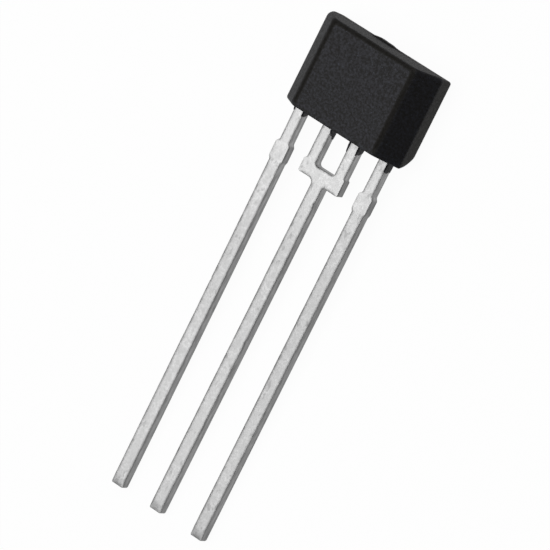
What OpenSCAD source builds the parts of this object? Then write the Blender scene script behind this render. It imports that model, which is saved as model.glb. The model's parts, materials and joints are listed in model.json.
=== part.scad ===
// Three-lead magnetic sensor (Hall-effect type) in a moulded single-in-line case.
// It lies as it comes to rest, on the lower rear edge of the case and on the lead tips.
// X runs across the leads, the leads point to -Y and the sensing face looks up, to +Z.
// Inside the modules Y is 0 at the top of the case and Z is 0 at the parting line.

/* [Case] */
// Width across the leads, at the parting line
case_w = 5.22; // [5:0.01:7]
// Height along the leads, at the parting line
case_h = 3.43; // [3.3:0.01:5]
// Depth of the front half, from the parting line to the sensing face
front_depth = 0.77; // [0.75:0.01:1.2]
// Depth of the rear half, from the parting line to the rear face
rear_depth = 0.74; // [0.6:0.01:1.2]
// Setback of the 45 degree chamfers down both sides of the front half
side_chamfer = 0.71; // [0.3:0.01:0.74]
// Draft of the top and bottom of the front half, in degrees
front_draft = 3.6; // [2:0.1:8]
// Draft of all four sides of the rear half, in degrees
rear_draft = 7.6; // [5:0.1:14]
// Radius of the two upper corners of the outline
top_corner_r = 0.2; // [0.05:0.01:0.45]
// Radius of the two lower corners of the outline
bottom_corner_r = 0.1; // [0.05:0.01:0.3]
// Radius of the edges round the sensing face and the rear face
edge_r = 0.08; // [0.03:0.01:0.1]

/* [Mould marks] */
// Width of the gate scar on top of the case
gate_w = 1.15; // [0.6:0.05:1.6]
// Height of the gate scar above the top of the case
gate_proud = 0.05; // [0.02:0.01:0.1]
// Thickness of the gate scar, from the parting line to the rear
gate_t = 0.16; // [0.08:0.01:0.3]
// Diameter of the ejector pin mark on the rear face
ejector_d = 1.3; // [0.8:0.1:1.8]
// Depth of the ejector pin mark
ejector_depth = 0.05; // [0.02:0.01:0.08]
// Length of the resin flash left on the lead sides under the case
flash_drop = 0.36; // [0.1:0.01:0.6]
// Thickness of the resin flash where it leaves the case
flash_root = 0.08; // [0.03:0.01:0.12]
// Thickness of the resin flash at its lower end
flash_end = 0.02; // [0.01:0.01:0.05]

/* [Leads] */
// Distance between neighbouring leads
lead_pitch = 1.905; // [1.7:0.005:2.2]
// Length of the leads below the case
lead_l = 14.7; // [8:0.01:18]
// Width of a lead below the dambar
lead_w = 0.49; // [0.42:0.005:0.54]
// Thickness of the leadframe strip
lead_t = 0.38; // [0.2:0.01:0.5]
// Width of a lead where it enters the case
neck_w = 0.41; // [0.3:0.005:0.42]
// Distance between the two prongs of the centre lead
prong_pitch = 1.29; // [1.1:0.01:1.4]
// Distance from the case to the top of the trimmed dambar
dambar_drop = 1.45; // [0.8:0.01:2]
// Height of the trimmed dambar
dambar_h = 0.54; // [0.3:0.01:0.7]
// How far a dambar stub stands out from the side of an outer lead
stub_proud = 0.052; // [0.03:0.002:0.1]
// How far a dambar stub stands out from a prong of the centre lead
ear_proud = 0.07; // [0.06:0.01:0.2]
// Sideways offset of the trimming punch
trim_shift = -0.012; // [-0.03:0.002:0.03]
// How much higher the left half of the yoke's underside was cut than the right half
yoke_step = 0.08; // [0:0.01:0.1]
// Radius of the corners in the window between the prongs
window_r = 0.14; // [0.05:0.01:0.3]
// Radius where the left half of the yoke runs into the centre lead
yoke_fillet = 0.2; // [0.05:0.01:0.25]
// Radius where the right half of the yoke runs into the centre lead
yoke_fillet_right = 0.08; // [0.03:0.01:0.2]
// Length of the bevel that the cut-off left on the front of each tip
tip_bevel_l = 0.27; // [0.05:0.01:0.4]
// Depth of that bevel
tip_bevel_d = 0.05; // [0.02:0.01:0.1]
// Length and depth of the broken edge on the rear of each tip
tip_break = 0.065; // [0.02:0.005:0.1]

/* [Inside the case] */
// Width of the chip pad at the end of the centre lead
pad_w = 2.1; // [2:0.05:2.3]
// Height of the chip pad
pad_h = 1.9; // [1.5:0.05:2]
// Distance from the top of the case to the chip pad
pad_setback = 0.6; // [0.5:0.05:0.8]
// Gap between the chip pad and the bond posts
post_gap = 0.2; // [0.15:0.01:0.3]
// Width of the anchor tab on the outer side of a bond post
anchor_w = 0.06; // [0.05:0.01:0.1]
// Height of the bond post
post_h = 0.75; // [0.5:0.05:1]
// Width of the silicon chip
chip_w = 1.3; // [0.8:0.05:1.5]
// Height of the silicon chip
chip_h = 1.1; // [0.8:0.05:1.3]
// Thickness of the silicon chip
chip_t = 0.28; // [0.15:0.01:0.32]
// Thickness of the adhesive under the chip
adhesive_t = 0.025; // [0.01:0.005:0.04]
// Width of the adhesive that shows round the chip
adhesive_rim = 0.05; // [0.02:0.01:0.08]
// Distance of the bonds from the edges of the chip
bond_inset = 0.15; // [0.08:0.01:0.2]
// Diameter of the bond wires
wire_d = 0.03; // [0.025:0.005:0.05]
// Height of a wire loop above the chip
loop_h = 0.13; // [0.1:0.01:0.2]

/* [Hidden] */

// Angle between two facets of a rounded corner
arc_step = 11.25;
// A length by which cutters pass the solids they cut
over = 1;

tip_y = -case_h - lead_l;
dambar_top = -case_h - dambar_drop;
dambar_bottom = dambar_top - dambar_h;
pad_bottom = -pad_setback - pad_h;
pad_y = -pad_setback - pad_h / 2;
post_inner_x = pad_w / 2 + post_gap;
post_outer_x = lead_pitch + neck_w / 2 + anchor_w;
chip_top = adhesive_t + chip_t;
front_inset = front_depth * tan(front_draft);
rear_inset = rear_depth * tan(rear_draft);

// The leads outweigh the case. It tips about the end of its rear flat until the tips touch down.
rear_flat_y = -case_h + rear_inset + edge_r * tan((90 - rear_draft) / 2);
tip_flat_y = tip_y + tip_break;
rest_tilt = atan((rear_depth - lead_t) / (rear_flat_y - tip_flat_y));
rest_lift = rear_depth * cos(rest_tilt) - rear_flat_y * sin(rest_tilt);
top_reach = gate_proud * cos(rest_tilt) + gate_t * sin(rest_tilt);
tip_reach = tip_y * cos(rest_tilt) + tip_bevel_d * sin(rest_tilt);
rest_shift = -(top_reach + tip_reach) / 2;

// ---- Outlines with rounded corners: each point is [x, y, radius] ----

function xy(p) = [p[0], p[1]];
function unit(v) = v / norm(v);

// Points of the arc that rounds corner p between its neighbours a and b
function corner_arc(a, p, b, r) =
    let (to_a = unit(a - p),
         to_b = unit(b - p),
         half = acos(to_a * to_b) / 2,
         centre = p + unit(to_a + to_b) * r / sin(half),
         start = p + to_a * r / tan(half) - centre,
         end = p + to_b * r / tan(half) - centre,
         sweep = atan2(cross(start, end), start * end),
         steps = max(2, ceil(abs(sweep) / arc_step)),
         first = atan2(start[1], start[0]))
    [for (i = [0 : steps]) centre + r * [cos(first + sweep * i / steps), sin(first + sweep * i / steps)]];

// A corner with no radius, or with its neighbours in one line, stays as it is
function rounded(pts) =
    [for (i = [0 : len(pts) - 1])
        let (a = xy(pts[(i + len(pts) - 1) % len(pts)]),
             p = xy(pts[i]),
             b = xy(pts[(i + 1) % len(pts)]),
             r = pts[i][2],
             bend = abs(cross(unit(a - p), unit(b - p))))
        each (r > 0 && bend > 0.001 ? corner_arc(a, p, b, r) : [p])];

// ---- Placing ----

// Lays the sensor down from its upright working frame
module at_rest() {
    translate([0, rest_shift, rest_lift])
        rotate([rest_tilt, 0, 0])
            children();
}

// A profile drawn as [x, z], pulled along Y through the whole case
module along_height() {
    translate([0, over, 0])
        rotate([90, 0, 0])
            linear_extrude(case_h + 2 * over)
                children();
}

// A profile drawn as [y, z], pulled along X, w wide and centred
module across_width(w) {
    rotate([90, 0, 90])
        linear_extrude(w, center = true)
            children();
}

// A plan drawn as [x, y], as thick as the strip, with its front on the parting line
module strip() {
    translate([0, 0, -lead_t])
        linear_extrude(lead_t)
            children();
}

// ---- Case ----

// Section across the leads: drafted rear half, chamfered front half
module cross_profile() {
    side = case_w / 2;
    polygon(rounded([
        [-side + rear_inset, -rear_depth, edge_r],
        [side - rear_inset, -rear_depth, edge_r],
        [side, 0, 0],
        [side, front_depth - side_chamfer, 0],
        [side - side_chamfer, front_depth, edge_r],
        [-side + side_chamfer, front_depth, edge_r],
        [-side, front_depth - side_chamfer, 0],
        [-side, 0, 0],
    ]));
}

// Section along the leads: both halves drafted from the parting line
module side_profile() {
    polygon(rounded([
        [-case_h, 0, 0],
        [-case_h + rear_inset, -rear_depth, edge_r],
        [-rear_inset, -rear_depth, edge_r],
        [0, 0, 0],
        [-front_inset, front_depth, edge_r],
        [-case_h + front_inset, front_depth, edge_r],
    ]));
}

module case_plan() {
    side = case_w / 2;
    polygon(rounded([
        [-side, -case_h, bottom_corner_r],
        [side, -case_h, bottom_corner_r],
        [side, 0, top_corner_r],
        [-side, 0, top_corner_r],
    ]));
}

module case_form() {
    intersection() {
        along_height() cross_profile();
        across_width(case_w + 2 * over) side_profile();
        translate([0, 0, -rear_depth - over])
            linear_extrude(front_depth + rear_depth + 2 * over)
                case_plan();
    }
}

// Broken-off runner at the top, just behind the parting line
module gate_scar() {
    rough = gate_proud / 2;
    translate([0, 0, -gate_t])
        linear_extrude(gate_t)
            polygon([
                [-gate_w / 2, -rear_inset],
                [gate_w / 2, -rear_inset],
                [gate_w * 0.44, rough],
                [gate_w * 0.25, gate_proud],
                [gate_w * 0.1, rough],
                [-gate_w * 0.05, gate_proud * 0.8],
                [-gate_w * 0.38, gate_proud],
                [-gate_w * 0.47, rough],
            ]);
}

module ejector_mark() {
    translate([0, -case_h / 2, -rear_depth - over])
        cylinder(h = over + ejector_depth, d = ejector_d, $fn = 48);
}

// Wedge of resin that the mould let out along one side of a neck, on the side given by dir
module root_flash(neck_x, dir, share) {
    edge = neck_x + dir * neck_w / 2;
    start = -case_h + rear_inset;
    strip()
        polygon([
            [edge, start],
            [edge + dir * flash_root, start],
            [edge + dir * flash_root * 0.8, -case_h - flash_drop * share * 0.4],
            [edge + dir * flash_end, -case_h - flash_drop * share],
            [edge, -case_h - flash_drop * share],
        ]);
}

module all_root_flash() {
    prong_x = prong_pitch / 2;
    root_flash(-lead_pitch, -1, 0.3);
    root_flash(-lead_pitch, 1, 0.6);
    root_flash(-prong_x, 1, 1);
    root_flash(prong_x, -1, 0.95);
    root_flash(prong_x, 1, 0.9);
    root_flash(lead_pitch, 1, 0.75);
}

module case_body() {
    color([0.17, 0.17, 0.18])
        difference() {
            union() {
                case_form();
                gate_scar();
                all_root_flash();
            }
            ejector_mark();
            left_lead_metal();
            centre_lead_metal();
            right_lead_metal();
            adhesive_form();
            chip_form();
            outer_wire(-1);
            ground_wire();
            outer_wire(1);
        }
}

// ---- Leads ----

// Side view of the strip, with the tip bevelled in front and broken at the rear
module tip_profile() {
    polygon([
        [over, 0],
        [tip_y + tip_bevel_l, 0],
        [tip_y, -tip_bevel_d],
        [tip_y, -lead_t + tip_break],
        [tip_flat_y, -lead_t],
        [over, -lead_t],
    ]);
}

// Stamps an outline from the strip and cuts the tip to length
module stamped() {
    intersection() {
        strip() children();
        across_width(case_w + 2 * over) tip_profile();
    }
}

// Outline of an outer lead; dir is -1 for the left one and 1 for the right one
module outer_lead_plan(dir) {
    x = dir * lead_pitch;
    ramp = 0.12;
    soft = 0.09;
    stub_left = x + trim_shift - lead_w / 2 - stub_proud;
    stub_right = x + trim_shift + lead_w / 2 + stub_proud;
    post_left = min(dir * post_inner_x, dir * post_outer_x);
    post_right = max(dir * post_inner_x, dir * post_outer_x);
    post_top = pad_bottom + post_h;
    polygon(rounded([
        [x - lead_w / 2, tip_y, 0.03],
        [x + lead_w / 2, tip_y, 0.03],
        [x + lead_w / 2, dambar_bottom - ramp, soft],
        [stub_right, dambar_bottom, soft],
        [stub_right, dambar_top, soft],
        [x + neck_w / 2, dambar_top + ramp, soft],
        [x + neck_w / 2, pad_bottom, 0.02],
        [post_right, pad_bottom, 0.02],
        [post_right, post_top, 0.08],
        [post_left, post_top, 0.08],
        [post_left, pad_bottom, 0.02],
        [x - neck_w / 2, pad_bottom, 0.02],
        [x - neck_w / 2, dambar_top + ramp, soft],
        [stub_left, dambar_top, soft],
        [stub_left, dambar_bottom, soft],
        [x - lead_w / 2, dambar_bottom - ramp, soft],
    ]));
}

// Outline of the centre lead: stem, yoke, two prongs and the chip pad that they carry
module centre_lead_plan() {
    inner = (prong_pitch - neck_w) / 2;
    outer = (prong_pitch + neck_w) / 2;
    ear_left = trim_shift - outer - ear_proud;
    ear_right = trim_shift + outer + ear_proud;
    ear_ramp = 0.05;
    ear_r = 0.05;
    difference() {
        polygon(rounded([
            [-lead_w / 2, tip_y, 0.03],
            [lead_w / 2, tip_y, 0.03],
            [lead_w / 2, dambar_bottom, yoke_fillet_right],
            [ear_right, dambar_bottom, ear_r],
            [ear_right, dambar_top + ear_ramp, 0.03],
            [outer, dambar_top + 2 * ear_ramp, 0.03],
            [outer, pad_bottom, 0.05],
            [pad_w / 2, pad_bottom, 0.08],
            [pad_w / 2, -pad_setback, 0.08],
            [-pad_w / 2, -pad_setback, 0.08],
            [-pad_w / 2, pad_bottom, 0.08],
            [-outer, pad_bottom, 0.05],
            [-outer, dambar_top + 2 * ear_ramp, 0.03],
            [ear_left, dambar_top + ear_ramp, 0.03],
            [ear_left, dambar_bottom + yoke_step, ear_r],
            [-lead_w / 2, dambar_bottom + yoke_step, yoke_fillet],
        ]));
        polygon(rounded([
            [-inner, dambar_top, window_r],
            [inner, dambar_top, window_r],
            [inner, pad_bottom, 0.08],
            [-inner, pad_bottom, 0.08],
        ]));
    }
}

module left_lead_metal() {
    stamped() outer_lead_plan(-1);
}

module centre_lead_metal() {
    stamped() centre_lead_plan();
}

module right_lead_metal() {
    stamped() outer_lead_plan(1);
}

// ---- Chip and bond wires ----

module adhesive_form() {
    translate([-chip_w / 2 - adhesive_rim, pad_y - chip_h / 2 - adhesive_rim, 0])
        cube([chip_w + 2 * adhesive_rim, chip_h + 2 * adhesive_rim, adhesive_t]);
}

module chip_form() {
    translate([-chip_w / 2, pad_y - chip_h / 2, adhesive_t])
        cube([chip_w, chip_h, chip_t]);
}

// Point at share s of the cubic curve that leaves a upright, clears the chip and comes down on b
function loop_point(a, b, s) =
    let (above_a = a + [0, 0, loop_h * 1.9],
         near_b = [a[0] + (b[0] - a[0]) * 0.8, a[1] + (b[1] - a[1]) * 0.8, a[2] + loop_h * 1.3],
         t = 1 - s)
    pow(t, 3) * a + 3 * s * t * t * above_a + 3 * s * s * t * near_b + pow(s, 3) * b;

// Gold wire from a ball on the chip at a to a stitch on the strip at b
module bond_wire(a, b) {
    sides = 8;
    rings = 16;
    r = wire_d / 2;
    ball_h = wire_d * 0.8;
    start = a + [0, 0, ball_h];
    end = b + [0, 0, r];
    flat = unit([b[0] - a[0], b[1] - a[1], 0]);
    side = [-flat[1], flat[0], 0];
    route = [for (i = [0 : rings - 1]) loop_point(start, end, i / (rings - 1))];
    points = [
        for (i = [0 : rings - 1])
            let (before = route[max(i - 1, 0)],
                 after = route[min(i + 1, rings - 1)],
                 ahead = i == 0 ? [0, 0, 1] : (i == rings - 1 ? flat : unit(after - before)),
                 up = cross(side, ahead))
            for (j = [0 : sides - 1])
                route[i] + r * (side * cos(360 * j / sides) + up * sin(360 * j / sides))
    ];
    faces = concat(
        [[for (j = [0 : sides - 1]) j]],
        [[for (j = [sides - 1 : -1 : 0]) (rings - 1) * sides + j]],
        [for (i = [0 : rings - 2])
            for (j = [0 : sides - 1])
                let (k = (j + 1) % sides)
                each [[i * sides + j, (i + 1) * sides + j, i * sides + k],
                      [i * sides + k, (i + 1) * sides + j, (i + 1) * sides + k]]]);
    polyhedron(points, faces);
    translate(a)
        cylinder(h = ball_h, r = wire_d, $fn = 12);
}

module outer_wire(dir) {
    bond_wire([dir * (chip_w / 2 - bond_inset), pad_y - chip_h / 2 + bond_inset, chip_top],
              [dir * (post_inner_x + lead_pitch) / 2, pad_bottom + post_h / 2, 0]);
}

module ground_wire() {
    chip_edge = pad_y + chip_h / 2;
    bond_wire([0, chip_edge - bond_inset, chip_top],
              [0, (chip_edge - pad_setback) / 2, 0]);
}

at_rest() case_body();  // case
at_rest() color([0.78, 0.78, 0.76]) left_lead_metal();  // lead_left
at_rest() color([0.78, 0.78, 0.76]) centre_lead_metal();  // lead_centre
at_rest() color([0.78, 0.78, 0.76]) right_lead_metal();  // lead_right
at_rest() color([0.75, 0.75, 0.7]) adhesive_form();  // chip_adhesive
at_rest() color([0.35, 0.37, 0.45]) chip_form();  // hall_chip
at_rest() color([0.9, 0.72, 0.25]) outer_wire(-1);  // wire_supply
at_rest() color([0.9, 0.72, 0.25]) ground_wire();  // wire_ground
at_rest() color([0.9, 0.72, 0.25]) outer_wire(1);  // wire_output
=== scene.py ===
"""Magnetic sensor: moulded case, mould marks and stamped leads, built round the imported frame.

The upright frame used here has x across the leads, y up the case from the parting line's top edge,
and z out of the sensing face, with 0 on the parting line. All sizes are metres.
"""

import json
import math
from types import SimpleNamespace

import bmesh
import bpy
import numpy as np
from bpy.props import FloatProperty, FloatVectorProperty, PointerProperty
from mathutils import Matrix, Vector
from mathutils.geometry import tessellate_polygon


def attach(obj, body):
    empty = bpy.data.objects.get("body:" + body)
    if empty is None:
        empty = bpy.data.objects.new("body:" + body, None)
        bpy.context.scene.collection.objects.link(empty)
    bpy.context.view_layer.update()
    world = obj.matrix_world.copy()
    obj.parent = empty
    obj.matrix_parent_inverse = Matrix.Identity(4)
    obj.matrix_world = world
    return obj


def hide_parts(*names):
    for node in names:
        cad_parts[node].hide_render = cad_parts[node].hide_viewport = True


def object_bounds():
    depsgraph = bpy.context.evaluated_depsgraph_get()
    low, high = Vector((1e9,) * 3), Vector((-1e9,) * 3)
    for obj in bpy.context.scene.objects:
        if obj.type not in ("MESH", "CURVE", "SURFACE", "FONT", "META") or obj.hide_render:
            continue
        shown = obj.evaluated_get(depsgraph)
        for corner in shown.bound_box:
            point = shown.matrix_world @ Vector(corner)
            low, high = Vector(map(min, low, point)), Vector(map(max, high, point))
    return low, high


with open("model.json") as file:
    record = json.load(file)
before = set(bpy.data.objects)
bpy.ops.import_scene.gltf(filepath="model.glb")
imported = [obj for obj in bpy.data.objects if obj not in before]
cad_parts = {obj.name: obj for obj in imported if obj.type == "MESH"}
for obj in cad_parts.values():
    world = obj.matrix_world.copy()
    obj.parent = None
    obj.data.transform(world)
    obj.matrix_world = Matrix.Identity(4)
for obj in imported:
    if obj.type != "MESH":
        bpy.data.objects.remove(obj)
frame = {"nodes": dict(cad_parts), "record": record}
cad_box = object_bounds()

bl_info = {
    "name": "Magnetic Sensor",
    "version": (1, 0, 0),
    "blender": (4, 5, 0),
    "location": "View3D > Sidebar > Sensor",
    "description": "Builds a three-lead magnetic sensor round its packed frame",
    "category": "Add Mesh",
}

MM = 0.001
MERGE = 1e-4 * MM
LEADS = ("lead_left", "lead_centre", "lead_right")
WIRES = ("wire_supply", "wire_ground", "wire_output")


# ---- settings


def length(name, mm, description):
    """A length setting, with its default in millimetres."""
    return FloatProperty(
        name=name, description=description, default=mm * MM, subtype="DISTANCE", unit="LENGTH")


def angle(name, degrees, description):
    """An angle setting, with its default in degrees."""
    return FloatProperty(
        name=name, description=description, default=math.radians(degrees),
        subtype="ANGLE", unit="ROTATION")


def fraction(name, default, description):
    """A setting from 0 to 1."""
    return FloatProperty(
        name=name, description=description, default=default, subtype="FACTOR", min=0.0, max=1.0)


def tint(name, default, description):
    """A colour setting."""
    return FloatVectorProperty(
        name=name, description=description, default=default, subtype="COLOR", size=3, min=0.0, max=1.0)


class CaseSettings(bpy.types.PropertyGroup):
    """Roundings and mould marks of the case"""

    corners: FloatVectorProperty(
        name="Corners", description="Radii of the outline's corners at the parting line: "
        "upper right, upper left, lower left, lower right", size=4,
        default=(0.15 * MM, 0.27 * MM, 0.1 * MM, 0.08 * MM), unit="LENGTH")
    corner_front: length("Corner at sensing face", 0.12, "Radius of the sensing face's corners")
    corners_rear: FloatVectorProperty(
        name="Corners at rear face", description="Radii of the rear face's corners, in the same order",
        size=4, default=(0.09 * MM, 0.03 * MM, 0.09 * MM, 0.45 * MM), unit="LENGTH")
    edge_front: length("Sensing face edge", 0.09, "Radius of the edge round the sensing face")
    edge_lower: length(
        "Sensing face lower edge", 0.006, "Inset of the sensing face's crisper lower edge")
    edge_rear: length("Rear face edge", 0.04, "Radius of the edge round the rear face")
    # Width of the border round the sensing face's top and sides that painted shade darkens, and spacing
    # of its flat rings
    border: length("Smooth border", 0.07, "Width of the smoother border round the sensing face")
    # Share of painted shade, a darker epoxy colour, over the whole rear half
    rear_shade: fraction(
        "Rear finish", 0.6, "Share of the smooth border's finish on the whole rear half")
    land_edge: length(
        "Chamfer foot", 0.03, "Radius where a side chamfer runs into its narrow upright land")
    parting_ridge: length("Parting ridge", 0.004, "How far the parting line stands proud")
    ejector_d: length("Ejector mark", 1.3, "Diameter of the ejector pin mark on the rear face")
    ejector_depth: length("Ejector depth", 0.05, "Depth of the ejector pin mark")
    gate_w: length(
        "Gate scar width", 0.95, "Width of the broken gate's raised part on top of the case")
    gate_proud: length(
        "Gate scar height", 0.066, "Height of the broken gate above the top of the case")
    gate_t: length("Gate scar thickness", 0.17, "Thickness of the broken gate behind the parting line")
    flash_l: length("Flash length", 0.55, "Length that each wedge of resin flash has its share of")
    flash_t: length("Flash thickness", 0.075, "Thickness at the case that each wedge has its share of")


class LeadSettings(bpy.types.PropertyGroup):
    """Edges and cut ends of the stamped leads"""

    roll_w: length("Die roll width", 0.16, "Width of the rolled-over border of a lead's front")
    roll_d: length("Die roll depth", 0.027, "Depth of the rolled-over border at the very edge")
    trimmed_roll: fraction(
        "Trimmed roll", 0.35, "Share of the die roll left where the metal was cut off later")
    shade: FloatVectorProperty(
        name="Shade", description="Brightness of each lead's plating", size=3,
        default=(1.0, 0.985, 0.94), min=0.0, max=1.0)
    offset: FloatVectorProperty(
        name="Offset", description="Sideways place of each lead where it leaves the case", size=3,
        default=(-0.064 * MM, -0.027 * MM, 0.0 * MM), subtype="XYZ", unit="LENGTH")
    settle: length("Settle", 6, "Drop under the case over which most of a lead's offset is lost")
    lean: FloatVectorProperty(
        name="Lean", description="Sideways bend of each lead under the case", size=3,
        default=(0.0035, -0.0038, -0.0019), subtype="EULER", unit="ROTATION")
    rear_edge: length("Rear edge", 0.006, "Size of the broken edge round a lead's rear")
    tip_corner: length(
        "Tip corner", 0.04, "Radius of the corners of a lead's tip, seen from the front")
    spacing: length("Outline spacing", 0.08, "Longest step between two points of a lead's outline")
    waviness: length("Edge waviness", 0.004, "How far the sheared edge wanders from its line")
    nick: length("Nick depth", 0.02, "Depth of the small nicks in the front edge")
    notch_drop: length(
        "Notch place", 2.65, "Drop under the case of the notch in the centre lead's right edge")
    notch_d: length("Notch depth", 0.05, "Depth of the notch in the centre lead's right edge")
    window_edge: length(
        "Window edge", 0.022, "Extra rounding of the lower front edge of the centre lead's window")
    tip_rise: length("Tip rise", 0.08, "How far above the tip's bevel its soft start reaches")


class FinishSettings(bpy.types.PropertyGroup):
    """Colours and gloss"""

    epoxy: tint("Epoxy", (0.002, 0.002, 0.0026), "Colour of the moulding epoxy")
    epoxy_grain: tint(
        "Filler grains", (0.028, 0.032, 0.048), "Colour of the silica grains that show in the epoxy")
    # Painted shade: the warm near-black that the epoxy turns to round the sensing face, on the chamfers,
    # the gate and the rear half
    epoxy_shade: tint(
        "Smooth epoxy", (0.0016, 0.0012, 0.0004), "Colour of the epoxy where the mould was smooth")
    epoxy_rough: fraction("Epoxy roughness", 0.62, "Roughness of the moulded surface")
    tin: tint("Tin", (0.55, 0.55, 0.55), "Colour of the tin plating")
    # Sheared sides: darker partly as bare sheared metal, partly as painted shade
    tin_cut_and_shade: tint(
        "Sheared side", (0.3, 0.3, 0.3), "Colour of the sheared sides, where the plating is thin")
    tin_rough: fraction("Tin roughness", 0.5, "Roughness of the tin plating")


class StageSettings(bpy.types.PropertyGroup):
    """Camera, lamps and floor. The angles are taken in the sensor's upright frame"""

    azimuth: angle(
        "Azimuth", 30.26, "Turn of the camera's place from straight ahead to the sensor's right")
    elevation: angle("Elevation", 11.46, "Camera direction above the sensor's horizontal")
    roll: angle("Roll", 26.46, "Turn of the camera about its own axis")
    distance: length("Distance", 299.7, "Distance from the camera to the point it looks at")
    aim: FloatVectorProperty(
        name="Aim", description="Point in the upright frame that the camera looks at", size=3,
        default=(0.152 * MM, -8.836 * MM, 0.108 * MM), subtype="XYZ", unit="LENGTH")
    lens: FloatProperty(
        name="Lens", description="Focal length of the camera, in millimetres",
        default=575.9, subtype="DISTANCE_CAMERA")
    floor: tint("Floor", (0.9, 0.9, 0.9), "Colour of the floor")
    floor_white: fraction(
        "Floor whiteness", 0.96, "Share of plain white in the floor as the camera sees it")
    world: FloatProperty(
        name="World strength", description="Strength of the plain surroundings", default=0.14, min=0.0)
    key: FloatProperty(
        name="Key power", description="Power of the large softbox over the sensor's left, in watts",
        default=0.72, min=0.0)
    fill: FloatProperty(
        name="Fill power", description="Power of the softbox over the case's top, in watts",
        default=0.16, min=0.0)


# Each group of settings with its place on the scene and the operator that the panel lists with it
SETTINGS = (
    ("sensor_case", CaseSettings, "sensor.case"),
    ("sensor_leads", LeadSettings, "sensor.leads"),
    ("sensor_finish", FinishSettings, "sensor.insides"),
    ("sensor_stage", StageSettings, "sensor.stage"),
)


# ---- frame measures


def node_points(node):
    """A CAD node's vertices in the row frame, as an array of rows."""
    mesh = frame["nodes"][node].data
    points = np.empty(len(mesh.vertices) * 3, np.float32)
    mesh.vertices.foreach_get("co", points)
    return points.reshape(-1, 3).astype(float)


def upright_frame():
    """Axes, as rows (across, up the case, out of the sensing face), and origin of the upright frame."""
    mounts = {m["name"]: m for m in frame["record"]["mounts"]}
    front = np.array(mounts["sensing_face"]["axis"], float)
    up = -np.array(mounts["lead_centre_tip"]["axis"], float)
    axes = np.array([np.cross(up, front), up, front])
    case = node_points("case") @ axes.T
    strip = node_points("lead_left") @ axes.T
    beside_gate = np.abs(case[:, 0]) > case[:, 0].max() / 4
    origin = np.array([0.0, case[beside_gate, 1].max(), strip[:, 2].max()])
    return axes, origin


AXES, ORIGIN = upright_frame()


def to_upright(points):
    """Row frame to upright frame: dot products with the upright axes, less the origin."""
    return points @ AXES.T - ORIGIN


def to_row(points):
    """Upright frame to row frame: the sum of the upright axes, each times its coordinate."""
    return (points + ORIGIN) @ AXES


def measure_case():
    """Sizes of the case's plain form, read from the CAD case.

    The top's draft is the least slope -y / z of any point in the front half, and the rear draft is the
    least slope of the sides inwards in the rear half. Points on a drafted face have that slope, and all
    others lie further in. The bottom is read close to the sides, clear of the leads.
    """
    p = to_upright(node_points("case"))
    side = p[:, 0].max()
    front, rear = p[:, 2].max(), p[:, 2].min()
    on_side = p[:, 0] > side - MERGE
    near_side = np.abs(p[:, 0]) > 0.85 * side
    in_front = p[:, 2] > front / 2
    in_rear = p[:, 2] < rear / 2
    return SimpleNamespace(
        side=side, front=front, rear=rear, land=p[on_side, 2].max(), bottom=p[near_side, 1].min(),
        front_slope=(-p[in_front, 1] / p[in_front, 2]).min(),
        rear_slope=((side - np.abs(p[in_rear, 0])) / -p[in_rear, 2]).min(),
    )


def measure_leads(case):
    """Sizes of the leads, read from the CAD leads: thickness, tip and edges of the necks."""
    left = to_upright(node_points("lead_left"))
    return SimpleNamespace(
        thickness=-left[:, 2].min(),
        tip=left[:, 1].min(),
        prong_edges=edges_at(front_loops("lead_centre"), case.bottom),
        neck_edges=edges_at(front_loops("lead_left"), case.bottom),
    )


def crossings(loop, level):
    """Where a closed outline crosses a level: the index of each step that does, and the point on it."""
    after = np.roll(loop, -1, axis=0)
    at = np.flatnonzero((loop[:, 1] - level) * (after[:, 1] - level) < -MERGE * MERGE)
    share = (level - loop[at, 1]) / (after[at, 1] - loop[at, 1])
    return at, loop[at] + share[:, None] * (after[at] - loop[at])


def edges_at(loops, level):
    """The x of each place where any of the outlines crosses a level, from left to right."""
    return np.sort(np.concatenate([crossings(loop, level)[1][:, 0] for loop in loops]))


# ---- mesh helpers


def add_object(name, data):
    """A new object in the scene."""
    thing = bpy.data.objects.new(name, data)
    bpy.context.scene.collection.objects.link(thing)
    return thing


def make_piece(name, points, faces, flat_area=None):
    """A mesh object from upright points and faces. Faces larger than flat_area are shaded flat."""
    mesh = bpy.data.meshes.new(name)
    mesh.from_pydata(to_row(points).tolist(), [], faces)
    mesh.validate()
    bm = bmesh.new()
    bm.from_mesh(mesh)
    bmesh.ops.recalc_face_normals(bm, faces=bm.faces)
    bm.to_mesh(mesh)
    bm.free()
    areas = np.empty(len(mesh.polygons))
    mesh.polygons.foreach_get("area", areas)
    smooth = areas < (np.inf if flat_area is None else flat_area)
    mesh.polygons.foreach_set("use_smooth", smooth)
    mesh.update()
    return add_object(name, mesh)


def finish_piece(piece, slot, material, *replaced):
    """Gives a piece its material, attaches it to the root body and hides the nodes that it replaces. The
    slot is not used.
    """
    piece.data.materials.append(material)
    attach(piece, "root")
    if replaced:
        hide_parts(*replaced)
    return piece


def finish_node(node, material):
    """Gives a CAD node its material."""
    materials = frame["nodes"][node].data.materials
    materials.clear()
    materials.append(material)


def ring_faces(rows, around, first):
    """Quads between closed rings of `around` points, stored one after another from index `first`."""
    r = np.arange(rows - 1)[:, None] * around
    c = np.arange(around)[None, :]
    n = (c + 1) % around
    quads = np.stack([r + c, r + n, r + around + n, r + around + c], axis=-1) + first
    return [tuple(q) for q in quads.reshape(-1, 4).tolist()]


def skin_faces(rows, around, first=0):
    """Faces of a closed skin: the quads between its rings, and a flat face on each end ring."""
    last = first + (rows - 1) * around
    ends = [tuple(range(start, start + around)) for start in (first, last)]
    return ring_faces(rows, around, first) + ends


def loft(name, rings, flat_area=None):
    """A closed skin through rings, an array of ring x point x 3."""
    return make_piece(name, rings.reshape(-1, 3), skin_faces(*rings.shape[:2]), flat_area)


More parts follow.
